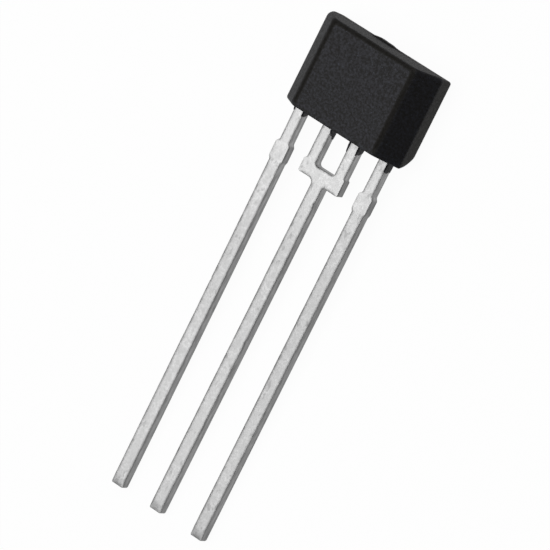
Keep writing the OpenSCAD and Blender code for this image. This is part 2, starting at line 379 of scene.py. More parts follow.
def at_heights(plan, z):
    """Rings in space from flat ones and the z of each."""
    return np.concatenate([plan, np.broadcast_to(z[:, None, None], plan.shape[:2] + (1,))], axis=-1)


def set_attribute(piece, name, values):
    """Stores one number a vertex under a name that the materials read."""
    layer = piece.data.attributes.new(name, "FLOAT", "POINT")
    layer.data.foreach_set("value", np.asarray(values, np.float32))


def smooth_noise(count, width, rng):
    """Noise on a closed loop: white noise averaged over a cosine window of width points, peak 1."""
    raw = rng.standard_normal(count)
    width = max(3, min(width, count))
    window = np.hanning(width + 2)[1:-1]
    tiled = np.concatenate([raw, raw, raw])
    soft = np.convolve(tiled, window / window.sum(), mode="same")[count:2 * count]
    return soft / max(np.abs(soft).max(), 1e-12)


# ---- case

# Rings on the sensing face's flat, as insets in widths of its painted-shade border
BORDER_STEPS = np.array([1.25, 1.0, 0.5])
# Share of painted shade, a darker epoxy colour, on the rings from that flat over its edge, on the
# chamfers and on the gate
EDGE_SHADE = (0.0, 0.25, 0.7, 1.0, 1.0, 0.8, 0.5, 0.35)
CHAMFER_SHADE = 0.15
GATE_SHADE = 0.3
# Power of the depth with which each corner's radius changes behind the parting line
REAR_POWERS = (2, 0.4, 2, 2)
# The gate's height, as a share, at places along x in widths of the gate
GATE_AT = (-0.86, -0.76, -0.66, -0.57, -0.47, -0.28, -0.18, -0.09, 0.11, 0.2, 0.3, 0.49, 0.86, 0.98)
GATE_HEIGHT = (0.0, 0.15, 0.4, 0.66, 0.87, 1.0, 0.9, 0.8, 0.8, 0.66, 0.36, 0.22, 0.12, 0.0)
# Wedges of flash: lead, edge of its necks from the left, shares of flash_l and flash_t, slant
FLASH_WEDGES = (
    (0, 0, 0.45, 0.5, 0.5),
    (0, 1, 0.54, 0.12, 0.35),
    (1, 1, 0.36, 0.25, -1.7),
    (1, 2, 0.9, 0.45, 0.2),
    (1, 3, 0.76, 0.2, 0.3),
    (2, 1, 0.64, 0.25, -0.19),
)


def rounded_box(half_w, top, bottom, radii, per_corner=12, per_side=15):
    """Rounded rectangles: quarter circles about inset centres, joined by evenly spaced points.

    They run anticlockwise from upper right. half_w, top and bottom have one value a ring and radii has
    four. Returns ring x point x 2.
    """
    turn = np.linspace(0.0, math.pi / 2, per_corner + 1)
    heading = (np.arange(4)[:, None] * math.pi / 2 + turn[None, :]).ravel()
    radius = np.repeat(radii, per_corner + 1, axis=1)
    side = np.repeat([1, -1, -1, 1], per_corner + 1)
    above = np.repeat([True, True, False, False], per_corner + 1)
    x = side * (half_w[:, None] - radius) + radius * np.cos(heading)
    y = np.where(above, top[:, None] - radius, bottom[:, None] + radius) + radius * np.sin(heading)
    corners = np.stack([x, y], axis=-1).reshape(len(half_w), 4, per_corner + 1, 2)
    start = corners[:, :, -1:]
    step = np.roll(corners[:, :, :1], -1, axis=1) - start
    sides = start + step * np.linspace(0.0, 1.0, per_side + 2)[1:-1, None]
    return np.concatenate([corners, sides], axis=2).reshape(len(half_w), -1, 2)


def edge_arc(radius, steps=8):
    """Rise r sin a and inset r (1 - cos a) of a quarter round, for a from 0 to a right angle."""
    a = np.linspace(0.0, math.pi / 2, steps + 1)
    return radius * np.sin(a), radius * (1 - np.cos(a))


def case_rings(case, s):
    """Rings of the case from the sensing face back to the rear face, and each ring's share of painted
    shade.

    Above the land the half width shrinks by the rise, as a 45 degree chamfer. Elsewhere the sides, top
    and bottom shrink by draft slope times height. Corner radii change evenly towards the sensing face,
    and with a power of the depth towards the rear. The face edges add a quarter round's inset, flatter
    at the sensing face's lower edge, and a small ridge stands proud at the parting line.
    """
    corners = np.array(s.corners)[None, :]
    rise, inset = edge_arc(s.edge_front)
    flat = s.border * BORDER_STEPS
    foot = s.land_edge * np.linspace(-1, 1, 7)
    front_z = np.concatenate([
        np.full(len(flat), case.front),
        (case.front - s.edge_front + rise)[::-1],
        np.linspace(case.front - s.edge_front, case.land + s.land_edge, 4)[1:-1],
        (case.land + foot)[::-1],
    ])
    below = len(front_z) - len(flat)
    arc = np.concatenate([np.full(len(flat), s.edge_front), inset[::-1], np.zeros(below - len(inset))])
    flat_inset = np.concatenate([flat, np.zeros(below)])
    front_inset = arc + flat_inset
    lower_inset = arc * s.edge_lower / s.edge_front + flat_inset
    shading = np.full(len(front_z), CHAMFER_SHADE)
    shading[:len(EDGE_SHADE)] = EDGE_SHADE
    over_land = front_z - case.land
    chamfer = np.where(
        np.abs(over_land) < s.land_edge,
        (over_land + s.land_edge) ** 2 / (4 * s.land_edge),
        np.maximum(over_land, 0.0),
    )
    share = (front_z / case.front)[:, None]
    front = rounded_box(
        case.side - chamfer - front_inset,
        -case.front_slope * front_z - front_inset,
        case.bottom + case.front_slope * front_z + lower_inset,
        corners + (s.corner_front - corners) * share,
    )

    ridge_z = s.parting_ridge * np.array([1.5, 0.5, -0.5, -1.5])
    ridge_out = s.parting_ridge * np.array([0.0, 1.0, 1.0, 0.0])
    ridge = rounded_box(
        case.side + ridge_out, ridge_out, case.bottom - ridge_out, corners + ridge_out[:, None])

    rise, inset = edge_arc(s.edge_rear)
    rear_z = np.concatenate([
        np.linspace(-4 * s.parting_ridge, case.rear + s.edge_rear, 9)[:-1],
        case.rear + s.edge_rear - rise,
    ])
    rear_inset = np.concatenate([np.zeros(len(rear_z) - len(inset)), inset])
    draft = -case.rear_slope * rear_z
    share = (rear_z / case.rear)[:, None]
    rear = rounded_box(
        case.side - draft - rear_inset,
        -draft - rear_inset,
        case.bottom + draft + rear_inset,
        corners + (np.array(s.corners_rear) - corners) * share ** REAR_POWERS,
    )
    plan = np.concatenate([front, ridge, rear])
    height = np.concatenate([front_z, ridge_z, rear_z])
    shading = np.concatenate([shading, np.zeros(len(ridge_z)), np.full(len(rear_z), s.rear_shade)])
    return at_heights(plan, height), shading


def ejector_rings(case, s, outline):
    """Rings round the ejector mark, down its wall and over its floor.

    Each point lies on the ray from the mark's centre through a point of the rear face's outline.
    """
    centre = np.array([0.0, case.bottom / 2])
    ray = outline[:, :2] - centre
    ray = ray / np.linalg.norm(ray, axis=1, keepdims=True)
    soft = 0.012 * MM
    deep = s.ejector_depth
    radii = s.ejector_d / 2 + soft * np.array([1.0, 0.3, 0.0, 0.0, -0.3, -1.0])
    sink = np.array([0.0, soft * 0.3, soft, deep - soft, deep - soft * 0.3, deep])
    return at_heights(centre + radii[:, None, None] * ray[None], case.rear + sink)


def build_case(case, s, material):
    """The moulded case as one closed skin, from the sensing face to the floor of the ejector mark.

    In front the painted shade starts 1.5 borders above the lower edge and is full at 4.5, so the top and
    sides are darker than the bottom.
    """
    rings, shading = case_rings(case, s)
    mark = ejector_rings(case, s, rings[-1])
    rings = np.concatenate([rings, mark])
    shading = np.concatenate([shading, np.full(len(mark), s.rear_shade)])
    piece = loft("moulded_case", rings, flat_area=0.05 * MM * MM)
    # Painted shade: darker epoxy round the top and sides of the sensing face, on the chamfers and over
    # the whole rear half
    above_edge = np.clip((rings[..., 1] - case.bottom) / (3 * s.border) - 0.5, 0, 1)
    share = np.where(rings[..., 2] > 0, above_edge, 1.0)
    set_attribute(piece, "smooth_finish", (shading[:, None] * share).ravel())
    return finish_piece(piece, "case_epoxy", material, "case")


def build_gate(s, material):
    """The broken gate: a strip along the top edge, with a raised part between two low shoulders.

    At each step along x the section is a closed loop, sunk in the case at both ends. Its height is the
    profile at x times one plus a slow noise, which also changes with depth.
    """
    rng = np.random.default_rng(7)
    steps, levels = 96, 9
    rough_up, rough_back, sunk_by = 0.12, 0.005 * MM, 0.1 * MM
    at = np.linspace(GATE_AT[0], GATE_AT[-1], steps)
    profile = np.interp(at, GATE_AT, GATE_HEIGHT)
    rough = smooth_noise(steps * levels, 9, rng).reshape(levels, steps).T
    height = s.gate_proud * np.clip(profile[:, None] * (1 + rough_up * rough), 0.0, 1.05)
    depth = np.broadcast_to(np.linspace(0.0, -s.gate_t, levels), (steps, levels)) + rough_back * rough
    sunk = np.full((steps, 1), -sunk_by)
    ys = np.concatenate([sunk, height, sunk], axis=1)
    zs = np.concatenate([depth[:, :1], depth, depth[:, -1:]], axis=1)
    xs = np.broadcast_to(at[:, None] * s.gate_w, ys.shape)
    piece = loft("gate_scar", np.stack([xs, ys, zs], axis=-1))
    # Painted shade on the gate's broken surface, which is also rougher
    set_attribute(piece, "smooth_finish", np.full(xs.size, GATE_SHADE))
    return finish_piece(piece, "case_epoxy", material)


def flash_rings(edge, side, long, thick, slant, case, strip_t, rng):
    """Rings of one wedge of flash on a lead's side, carried down from the case.

    The section is a rectangle that wraps from a little over the lead's front, past its edge by the
    wedge's thickness, to its rear. It thins out downwards to a ragged end, and its length falls from
    front to rear by the share slant.
    """
    rows, levels = 20, 8
    u = np.linspace(0, 1, rows)[:, None]
    v = np.linspace(0, 1, levels)[None, :]
    skin, hidden, inside = 0.01 * MM, 0.08 * MM, 0.03 * MM
    lumpy = 1 + 0.25 * smooth_noise(rows, 4, rng)[:, None]
    ragged = 1 + 0.15 * smooth_noise(levels, 3, rng)[None, :]
    proud = thick * (1 - u) ** 0.7 * lumpy + skin * (1 - u ** 4)
    reach = long * (1 - slant * v) * ragged
    y_outer = case.bottom + hidden - (reach + hidden) * u
    z_outer = skin * (1 - u) - (strip_t + skin) * v
    x_outer = np.broadcast_to(edge + side * proud, z_outer.shape)
    x_back = np.broadcast_to(edge - side * inside, (rows, 2))
    return np.stack([
        np.concatenate([x_outer, x_back], axis=1),
        np.concatenate([y_outer, y_outer[:, -1:], y_outer[:, :1]], axis=1),
        np.concatenate([z_outer, z_outer[:, -1:], z_outer[:, :1]], axis=1),
    ], axis=-1)


def build_flash(case, leads, s, lead_settings, material):
    """Six wedges of resin flash on the lead sides under the case, as one piece.

    Each stands on one edge of a neck and is shifted sideways with its lead. Edges are counted from 0 at
    the left, so an even one has the metal on its right.
    """
    rng = np.random.default_rng(11)
    edges = (leads.neck_edges, leads.prong_edges, -leads.neck_edges[::-1])
    points, faces = [], []
    first = 0
    for number, edge, long_share, thick_share, slant in FLASH_WEDGES:
        side = 1 if edge % 2 else -1
        rings = flash_rings(
            edges[number][edge], side, s.flash_l * long_share, s.flash_t * thick_share, slant,
            case, leads.thickness, rng)
        rings[..., 0] += sway(rings[..., 1], case, lead_settings, number)
        faces += skin_faces(*rings.shape[:2], first)
        points.append(rings.reshape(-1, 3))
        first += len(points[-1])
    piece = make_piece("root_flash", np.concatenate(points), faces)
    return finish_piece(piece, "case_epoxy", material)


# ---- leads

# Rings over the die roll, in widths of the roll from the edge
ROLL_STEPS = np.array([1.0, 0.8, 0.62, 0.47, 0.34, 0.23, 0.14, 0.06, 0.0])
# Brightness of a lead's sheared wall against depth, as a share of the thickness
WALL_DEPTH = (0.0, 0.05, 0.12, 0.38, 0.6, 0.85, 1.0)
WALL_TONE = (0.8, 0.62, 0.78, 1.08, 1.12, 0.95, 0.9)
# Brightness of the plating against the drop under the case, in millimetres
DROP = (0, 1.6, 4.4, 7.5, 10, 13, 14.6)
DROP_TONE = (1.0, 1.0, 0.87, 0.86, 0.9, 0.9, 0.82)


def front_loops(node):
    """Closed outlines of a lead's flat front, as arrays of x and y, the outer one first.

    They are the edges that only one front face uses, followed in that face's direction, so that the
    metal lies on the left of each. Faces stay in the mesh's order, so that every run gives the same.
    """
    bm = bmesh.new()
    bm.from_mesh(frame["nodes"][node].data)
    bmesh.ops.remove_doubles(bm, verts=bm.verts, dist=MERGE)
    bm.normal_update()
    out = Vector(AXES[2])
    facing = [f for f in bm.faces if f.normal.dot(out) > 0.9999]
    highest = max(f.calc_center_median().dot(out) for f in facing)
    front = [f for f in facing if f.calc_center_median().dot(out) > highest - 0.01 * MM]
    inside = set(front)
    following = {
        corner.vert.index: corner.link_loop_next.vert.index
        for f in front for corner in f.loops
        if sum(g in inside for g in corner.edge.link_faces) == 1
    }
    places = np.array([v.co for v in bm.verts])
    bm.free()
    loops = []
    while following:
        here = next(iter(following))
        order = []
        while here in following:
            order.append(here)
            here = following.pop(here)
        loops.append(to_upright(places[order])[:, :2])
    return sorted(loops, key=lambda loop: -np.ptp(loop[:, 1]))


def with_tip(loop, tip, radius):
    """The outline with its lower end carried down to the tip, and quarter circles for both corners."""
    low = np.flatnonzero(loop[:, 1] < loop[:, 1].min() + MERGE)
    left = low[np.argmin(loop[low, 0])]
    loop = np.roll(loop, -int(left) - 1, axis=0)
    x0, x1 = loop[-1, 0], loop[0, 0]
    a = np.linspace(0, math.pi / 2, 7)
    out, back = radius * (1 - np.cos(a)), radius * (1 - np.sin(a))
    left_arc = np.stack([x0 + out, tip + back], axis=1)
    right_arc = np.stack([x1 - back, tip + out], axis=1)
    return np.concatenate([loop, left_arc, right_arc])


def refined(loop, spacing, levels):
    """The outline with no step longer than spacing, and with a point wherever it crosses a level."""
    ends = np.roll(loop, -1, axis=0)
    size = np.linalg.norm(ends - loop, axis=1)
    count = np.maximum(1, np.ceil(size / spacing)).astype(int)
    owner = np.repeat(np.arange(len(loop)), count)
    share = (np.arange(count.sum()) - np.repeat(np.cumsum(count) - count, count)) / count[owner]
    points = loop[owner] + share[:, None] * (ends - loop)[owner]
    for level in levels:
        at, extra = crossings(points, level)
        points = np.insert(points, at + 1, extra, axis=0)
    step = np.linalg.norm(points - np.roll(points, 1, axis=0), axis=1)
    return points[step > MERGE]


def inward(loop):
    """Mitred normals towards the metal, and how far each point may move along its own.

    The mitre is the sum of both edges' normals over one plus their dot product. At a convex corner the
    limit is a share of the local radius, which is the shorter neighbouring step over the turn. Limits
    spread along the outline with an even slope.
    """
    sharp, radius_share, slope = 0.02, 0.85, 0.7
    step = np.roll(loop, -1, axis=0) - loop
    size = np.linalg.norm(step, axis=1)
    along = step / size[:, None]
    normal = np.stack([-along[:, 1], along[:, 0]], axis=1)
    before = np.roll(normal, 1, axis=0)
    mitre = (before + normal) / (1 + np.sum(before * normal, axis=1))[:, None]
    prior = np.roll(along, 1, axis=0)
    cross = prior[:, 0] * along[:, 1] - prior[:, 1] * along[:, 0]
    turn = np.arctan2(cross, np.sum(prior * along, axis=1))
    nearest = np.minimum(size, np.roll(size, 1))
    limit = np.where(turn > sharp, radius_share * nearest / np.maximum(turn, sharp), np.inf)
    at = np.cumsum(size) - size
    gap = np.abs(at[:, None] - at[None, :])
    gap = np.minimum(gap, size.sum() - gap)
    return mitre, np.min(limit[None, :] + slope * gap, axis=1)


def wall_profile(s, thickness):
    """Sheared wall of a lead from under the die roll to the rear face, as rows of (inset, depth, cut).

    The wall leans in a little over its lower half, and a small quarter round ends it. cut is 1 on the
    sheared wall and 0 on the plated rear.
    """
    depth = np.array([0.12, 0.24, 0.38, 0.54, 0.7, 0.85, 0.95]) * thickness
    inset = np.array([0.0, 0.0, 0.0, 0.001, 0.002, 0.003, 0.003]) * MM
    wall = np.stack([inset, depth, np.ones(len(depth))], axis=1)
    a = np.linspace(0, math.pi / 2, 4)
    edge_inset = inset[-1] + s.rear_edge * (1 - np.cos(a))
    edge_depth = thickness - s.rear_edge * (1 - np.sin(a))
    return np.concatenate([wall, np.stack([edge_inset, edge_depth, [1.0, 0.8, 0.4, 0.0]], axis=1)])


def cap_faces(loops, first, levels):
    """Triangles over the area between an outer loop and its holes, in bands that meet at the levels."""
    outer = loops[0]
    eps = 2 * MERGE
    faces = []
    edges = [np.inf, *levels, -np.inf]
    for number, (above, below) in enumerate(zip(edges, edges[1:])):
        part = np.flatnonzero((outer[:, 1] < above + eps) & (outer[:, 1] > below - eps))
        rims, numbers = [outer[part]], [part + first[0]]
        if number == 0:
            rims += loops[1:]
            numbers += [np.arange(len(h)) + f for h, f in zip(loops[1:], first[1:])]
        index = np.concatenate(numbers)
        flat = [[Vector((x, y, 0.0)) * 1000 for x, y in rim.tolist()] for rim in rims]
        faces += [tuple(int(index[i]) for i in tri) for tri in tessellate_polygon(flat)]
    return faces


def sway(y, case, s, number):
    """Sideways shift of a lead at y: offset times exp(-drop / settle), plus lean times the drop."""
    drop = np.clip(case.bottom - y, 0, None)
    return s.offset[number] * np.exp(-drop / s.settle) + s.lean[number] * drop


def measure_lead(node, case, leads, s):
    """Outlines and levels of one lead, read from its CAD node.

    At the tip the front closes in by bevel, softly from fold down, and the rear by chip, below chip_y.
    widest is the left and right edge of the punched strip.
    """
    metal = to_upright(node_points(node))
    loops = front_loops(node)
    at_tip = metal[metal[:, 1] < leads.tip + MERGE, 2]
    chip = leads.thickness + at_tip.min()
    fold = loops[0][:, 1].min() + s.tip_rise
    stem = edges_at(loops, leads.tip + 1 * MM)
    neck = edges_at(loops, case.bottom)
    loops[0] = with_tip(loops[0], leads.tip, s.tip_corner)
    return SimpleNamespace(
        loops=loops,
        fold=fold,
        folds=np.linspace(fold, leads.tip + 1.15 * s.roll_w, 5),
        bevel=-at_tip.max(),
        chip=chip,
        chip_y=leads.tip + chip,
        widest=(min(stem[0], neck[0]), max(stem[-1], neck[-1])),
    )


def trimmed_share(loop, widest, tip):
    """0 on the punched outline, 1 where it was cut later: at the tip, and clear outside the strip."""
    clear = 0.04 * MM
    out = np.maximum(widest[0] - loop[:, 0], loop[:, 0] - widest[1])
    at_tip = loop[:, 1] < tip + MERGE
    return np.maximum(np.clip(out / clear, 0, 1), at_tip)


def edge_wear(loop, mitre, soft, case, s, rng, centre, window):
    """How far the front edge is worn in: slow waves, and nicks where a second noise peaks, times soft.

    The centre lead also has its notch, exp(-t^2) along y, and a rounder lower edge of its window.
    """
    peak, notch_half = 0.75, 0.05 * MM
    worn = s.waviness * smooth_noise(len(loop), 5, rng)
    worn = worn + s.nick * np.clip(smooth_noise(len(loop), 3, rng) - peak, 0, 1) / (1 - peak)
    worn = worn * soft
    if window:
        worn = worn + s.window_edge * np.clip(-mitre[:, 1], 0, 1)
    if centre:
        below = (case.bottom - s.notch_drop - loop[:, 1]) / notch_half
        worn = worn + s.notch_d * np.exp(-below ** 2) * (loop[:, 0] > 0)
    return worn


def edge_profile(limit, trimmed, worn, s, wall):
    """Inset and depth of a lead's rings, over the die roll and down the sheared wall.

    The roll is as wide as roll_w, or as round corners allow. Its depth goes with the cube of nearness to
    the edge, and little is left where the lead was trimmed. Wear goes with the square of nearness, and
    down the wall with exp(-depth / wear_depth).
    """
    wear_depth = 0.12 * MM
    room = np.minimum(s.roll_w, limit)
    near = 1 - ROLL_STEPS[:, None]
    roll_inset = room * ROLL_STEPS[:, None] + worn * near ** 2
    roll_depth = s.roll_d * (room / s.roll_w) * (1 - (1 - s.trimmed_roll) * trimmed) * near ** 3
    wall_inset = np.minimum(wall[:, :1], limit) + worn * np.exp(-wall[:, 1:2] / wear_depth)
    wall_depth = np.broadcast_to(wall[:, 1:2], wall_inset.shape)
    return np.concatenate([roll_inset, wall_inset]), np.concatenate([roll_depth, wall_depth])


def lead_surface(loop, mitre, inset, depth, lead, leads):
    """Rings of a lead: the outline moved in by inset, with depth scaled between front and rear.

    The front drops by bevel times the 1.5th power of the share from fold to tip, so it starts softly,
    and the rear rises evenly below chip_y.
    """
    plan = loop[None] + inset[..., None] * mitre[None]
    y = plan[..., 1]
    front_z = -lead.bevel * np.clip((lead.fold - y) / (lead.fold - leads.tip), 0, 1) ** 1.5
    rear_z = -leads.thickness + lead.chip * np.clip((lead.chip_y - y) / lead.chip, 0, 1)
    z = front_z + (rear_z - front_z) * depth / leads.thickness
    return np.concatenate([plan, z[..., None]], axis=-1)


def lead_tone(y, depth, trimmed, case, leads, shade):
    """Brightness on a lead's rings: its shade, times that of its drop, times that of the sheared wall.

    The wall is darkest under the front edge, brightest at mid depth, and darker where it was trimmed.
    """
    trimmed_loss = 0.3
    tone = np.interp(depth / leads.thickness, WALL_DEPTH, WALL_TONE) * (1 - trimmed_loss * trimmed)
    tone[:len(ROLL_STEPS)] = 1.0
    drop = np.clip(case.bottom - y, 0, None)
    return tone * np.interp(drop / MM, DROP, DROP_TONE) * shade


def build_lead(node, case, leads, s, number, material):
    """A stamped lead: its edge profile carried round each outline, with flat front and rear faces."""
    rng = np.random.default_rng(21 + number)
    lead = measure_lead(node, case, leads, s)
    wall = wall_profile(s, leads.thickness)
    # Half bare at the very edge, fading over a twelfth of the roll
    cut = np.concatenate([np.clip(1 - ROLL_STEPS * 12, 0, 1) * 0.5, wall[:, 2]])
    surfaces, tones, faces, front_first, rear_first = [], [], [], [], []
    total = 0
    for loop_number, loop in enumerate(lead.loops):
        loop = refined(loop, s.spacing, (*lead.folds, lead.chip_y))
        mitre, limit = inward(loop)
        trimmed = trimmed_share(loop, lead.widest, leads.tip)
        soft = np.minimum(s.roll_w, limit) / s.roll_w * (1 - trimmed)
        worn = edge_wear(loop, mitre, soft, case, s, rng, node == "lead_centre", loop_number > 0)
        inset, depth = edge_profile(limit, trimmed, worn, s, wall)
        surface = lead_surface(loop, mitre, inset, depth, lead, leads)
        y = surface[..., 1]
        tones.append(lead_tone(y, depth, trimmed, case, leads, s.shade[number]).ravel())
        surface[..., 0] += sway(y, case, s, number)
        surfaces.append(surface)
        rows, around = surface.shape[:2]
        faces += ring_faces(rows, around, total)
        front_first.append(total)
        total += rows * around
        rear_first.append(total - around)
    faces += cap_faces([surface[0, :, :2] for surface in surfaces], front_first, lead.folds)
    faces += cap_faces([surface[-1, :, :2] for surface in surfaces], rear_first, (lead.chip_y,))
    points = np.concatenate([surface.reshape(-1, 3) for surface in surfaces])
    cuts = [np.repeat(cut, surface.shape[1]) for surface in surfaces]
    piece = make_piece(node + "_plated", points, faces, flat_area=0.03 * MM * MM)
    set_attribute(piece, "cut", np.concatenate(cuts))
    set_attribute(piece, "tone", np.concatenate(tones))
    return finish_piece(piece, "tinned_lead", material, node)


# ---- materials


class Shader:
    """A few short calls for building a node material."""

    def __init__(self, name):
        self.material = bpy.data.materials.new(name)
        self.material.use_nodes = True
        self.tree = self.material.node_tree
        self.tree.nodes.clear()
        self.output = self.add("OutputMaterial")

    def add(self, kind, inputs=None, **values):
        """Adds a shader node, sets its properties, and sets or links its inputs."""
        node = self.tree.nodes.new("ShaderNode" + kind)
        for key, value in values.items():
            setattr(node, key, value)
        for key, value in (inputs or {}).items():
            self.put(node, key, value)
        return node

    def put(self, node, key, value):
        """Links an output to an input socket, or sets the socket's own value."""
        if isinstance(value, bpy.types.NodeSocket):
            self.tree.links.new(value, node.inputs[key])
        else:
            node.inputs[key].default_value = value

    def attribute(self, name):
        """A number that set_attribute stored in the mesh."""
        return self.add("Attribute", attribute_name=name).outputs["Fac"]

    def object_point(self, stretch=(1, 1, 1)):
        """The piece's own coordinates, each axis times its stretch."""
        coordinates = self.add("TexCoord")
        return self.add(
            "Mapping", {"Vector": coordinates.outputs["Object"], "Scale": stretch}).outputs[0]

    def noise(self, size, stretch=(1, 1, 1), detail=4.0, rough=0.55):
        """Noise whose grain is about size metres."""
        return self.add("TexNoise", {
            "Vector": self.object_point(stretch), "Scale": 1 / size, "Detail": detail, "Roughness": rough,
        }).outputs["Fac"]

    def spread(self, value, low, high, to_low=0.0, to_high=1.0):
        """Maps low..high of a value evenly to to_low..to_high, clamped."""
        return self.add("MapRange", {
            "Value": value, "From Min": low, "From Max": high, "To Min": to_low, "To Max": to_high,
        }).outputs[0]

    def mix(self, share, a, b, blend="MIX"):
        """Colour between a and b."""
        inputs = {"Factor": share, 6: a, 7: b}
        return self.add("Mix", inputs, data_type="RGBA", blend_type=blend).outputs[2]

    def math(self, kind, a, b=0.0):
        """A Math node's result."""
        return self.add("Math", {0: a, 1: b}, operation=kind).outputs[0]

    def surface(self, **inputs):
        """A Principled surface on the output. Names use underscores for spaces."""
        node = self.add("BsdfPrincipled", {k.replace("_", " "): v for k, v in inputs.items()})
        self.put(self.output, "Surface", node.outputs[0])
        return self.material

    def bump(self, height, distance, strength=1.0):
        """A bump normal from a height."""
        return self.add(
            "Bump", {"Height": height, "Distance": distance, "Strength": strength}).outputs[0]


def rgba(colour, share=1.0):
    """A share of a colour, with full alpha."""
    return (*(share * c for c in colour), 1.0)


def epoxy_material(f):
    """Moulding epoxy: near black, with silica grains, painted glints on a few of them, and a fine
    texture.

    The shade attribute says where painted shade darkens the epoxy to a warm near-black and roughens it,
    so that no grains show.
    """
    m = Shader("moulding_epoxy")
    shading = m.attribute("smooth_finish")
    grain = m.noise(0.09 * MM, detail=3.0, rough=0.7)
    # Painted glints: a few Voronoi cells brightened to 1.6 times the grain colour
    cells = m.add("TexVoronoi", {"Vector": m.object_point(), "Scale": 1 / (0.1 * MM)})
    glint = m.spread(cells.outputs["Distance"], 0.3, 0.1)
    picked = m.spread(cells.outputs["Color"], 0.72, 0.95)
    base = m.mix(m.spread(grain, 0.4, 0.74, 0.0, 0.65), rgba(f.epoxy), rgba(f.epoxy_grain))
    base = m.mix(m.math("MULTIPLY", glint, picked), base, rgba(f.epoxy_grain, 1.6))
    # Painted shade: the epoxy turns to a warm near-black where the shade attribute is high
    base = m.mix(m.spread(shading, 0.0, 0.4, 0.0, 0.95), base, rgba(f.epoxy_shade))
    texture = m.noise(0.06 * MM, detail=2.0)
    rough = m.spread(grain, 0.4, 0.62, f.epoxy_rough + 0.04, f.epoxy_rough - 0.07)
    return m.surface(
        Base_Color=base,
        Roughness=m.math("ADD", rough, m.math("MULTIPLY", shading, 0.22)),
        Specular_IOR_Level=0.29,
        Specular_Tint=(1.0, 0.97, 0.93, 1.0),
        Normal=m.bump(texture, 0.012 * MM, 0.5),
    )


def tin_material(f):
    """Matt tin on a stamped strip: mottled, stained in places, and streaked on the sides, which are
    darker partly as sheared metal and partly as painted shade.

    "cut" says where the sheared metal shows, and "tone" multiplies the colour, unless there is none.
    """
    m = Shader("matt_tin")
    cut = m.attribute("cut")
    tone = m.attribute("tone")
    cloud = m.noise(0.9 * MM, stretch=(1.0, 0.5, 1.0), detail=2.0)
    mottle = m.noise(0.3 * MM, detail=3.0, rough=0.6)
    fine = m.noise(0.08 * MM, detail=2.0)
    stain = m.noise(0.22 * MM, stretch=(1.0, 0.6, 1.0), detail=2.0)
    streak = m.noise(0.06 * MM, stretch=(1.0, 0.12, 1.0), detail=3.0)
    plated = m.mix(m.spread(mottle, 0.4, 0.6), rgba(f.tin, 0.77), rgba(f.tin, 1.18))
    # Pattern, range that it shows over, its strength and its brightness
    for pattern, low, high, strength, share in (
        (fine, 0.4, 0.6, 0.5, 0.78), (cloud, 0.4, 0.6, 0.3, 0.88), (stain, 0.6, 0.68, 0.5, 0.45),
    ):
        plated = m.mix(m.spread(pattern, low, high, 0.0, strength), plated, rgba(f.tin, share))
    # Sheared sides: dark partly as bare sheared metal, partly as painted shade
    sheared = m.mix(m.spread(streak, 0.35, 0.65), rgba(f.tin_cut_and_shade, 0.78), rgba(f.tin_cut_and_shade, 1.25))
    known = m.math("MAXIMUM", tone, m.math("SUBTRACT", 1.0, m.math("CEIL", tone)))
    grey = m.add("CombineColor", {0: known, 1: known, 2: known}).outputs[0]
    height = m.math("ADD", m.math("MULTIPLY", mottle, 1.5), fine)
    height = m.math("ADD", height, m.math("MULTIPLY", m.math("MULTIPLY", streak, cut), 1.5))
    return m.surface(
        Base_Color=m.mix(1.0, m.mix(cut, plated, sheared), grey, "MULTIPLY"),
        Metallic=1.0,
        Roughness=m.spread(mottle, 0.3, 0.7, f.tin_rough - 0.05, f.tin_rough + 0.08),
        Normal=m.bump(height, 0.004 * MM, 0.6),
    )


def adhesive_material():
    """Cured silver-filled adhesive: pale grey with coarse flakes."""
    m = Shader("silver_adhesive")
    flakes = m.noise(0.02 * MM, detail=3.0)
    colour = m.mix(m.spread(flakes, 0.35, 0.65), (0.42, 0.42, 0.40, 1), (0.70, 0.70, 0.67, 1))
    return m.surface(Base_Color=colour, Metallic=0.6, Roughness=0.5, Normal=m.bump(flakes, 0.003 * MM))


def silicon_material():
    """Polished silicon: the faint blocks of its circuit on a blue-grey ground."""
    m = Shader("polished_silicon")
    point = m.object_point((1 / (0.12 * MM), 1 / (0.12 * MM), 0))
    blocks = m.add("TexVoronoi", {"Vector": point, "Scale": 1.0}, distance="CHEBYCHEV")
    colour = m.mix(blocks.outputs["Distance"], (0.09, 0.10, 0.16, 1), (0.30, 0.30, 0.38, 1))
    rough = m.spread(m.noise(0.05 * MM), 0.3, 0.7, 0.12, 0.25)
    return m.surface(Base_Color=colour, Metallic=0.4, Roughness=rough)


def gold_material():
    """Drawn gold wire with fine lengthwise marks."""
    m = Shader("gold_wire")
    marks = m.noise(0.004 * MM, detail=2.0)
    colour = m.mix(m.spread(marks, 0.3, 0.7), (0.86, 0.60, 0.20, 1), (0.95, 0.72, 0.30, 1))
    return m.surface(Base_Color=colour, Metallic=1.0, Roughness=0.22, Normal=m.bump(marks, 0.0005 * MM))


# ---- stage

# Softboxes: name, direction in the upright frame, side in metres, the setting with its power
SOFTBOXES = (
    ("key_softbox", (-0.35, -0.05, 0.95), 0.3, "key"),
    ("fill_softbox", (-0.2, 0.75, 0.6), 0.15, "fill"),
)
SOFTBOX_DISTANCE = 0.3
FLOOR_SIDE = 4.0


def camera_axes(s):
    """Right, up and back axes of the camera, as rows in the row frame.

    Back is the direction of azimuth and elevation; right and up are turned about it by the roll.
    """
    az, el = s.azimuth, s.elevation
    back = np.array([math.sin(az) * math.cos(el), math.sin(el), math.cos(az) * math.cos(el)])
    right = np.array([math.cos(az), 0.0, -math.sin(az)])
    up = np.cross(back, right)
    c, n = math.cos(s.roll), math.sin(s.roll)
    return np.array([c * right + n * up, c * up - n * right, back]) @ AXES


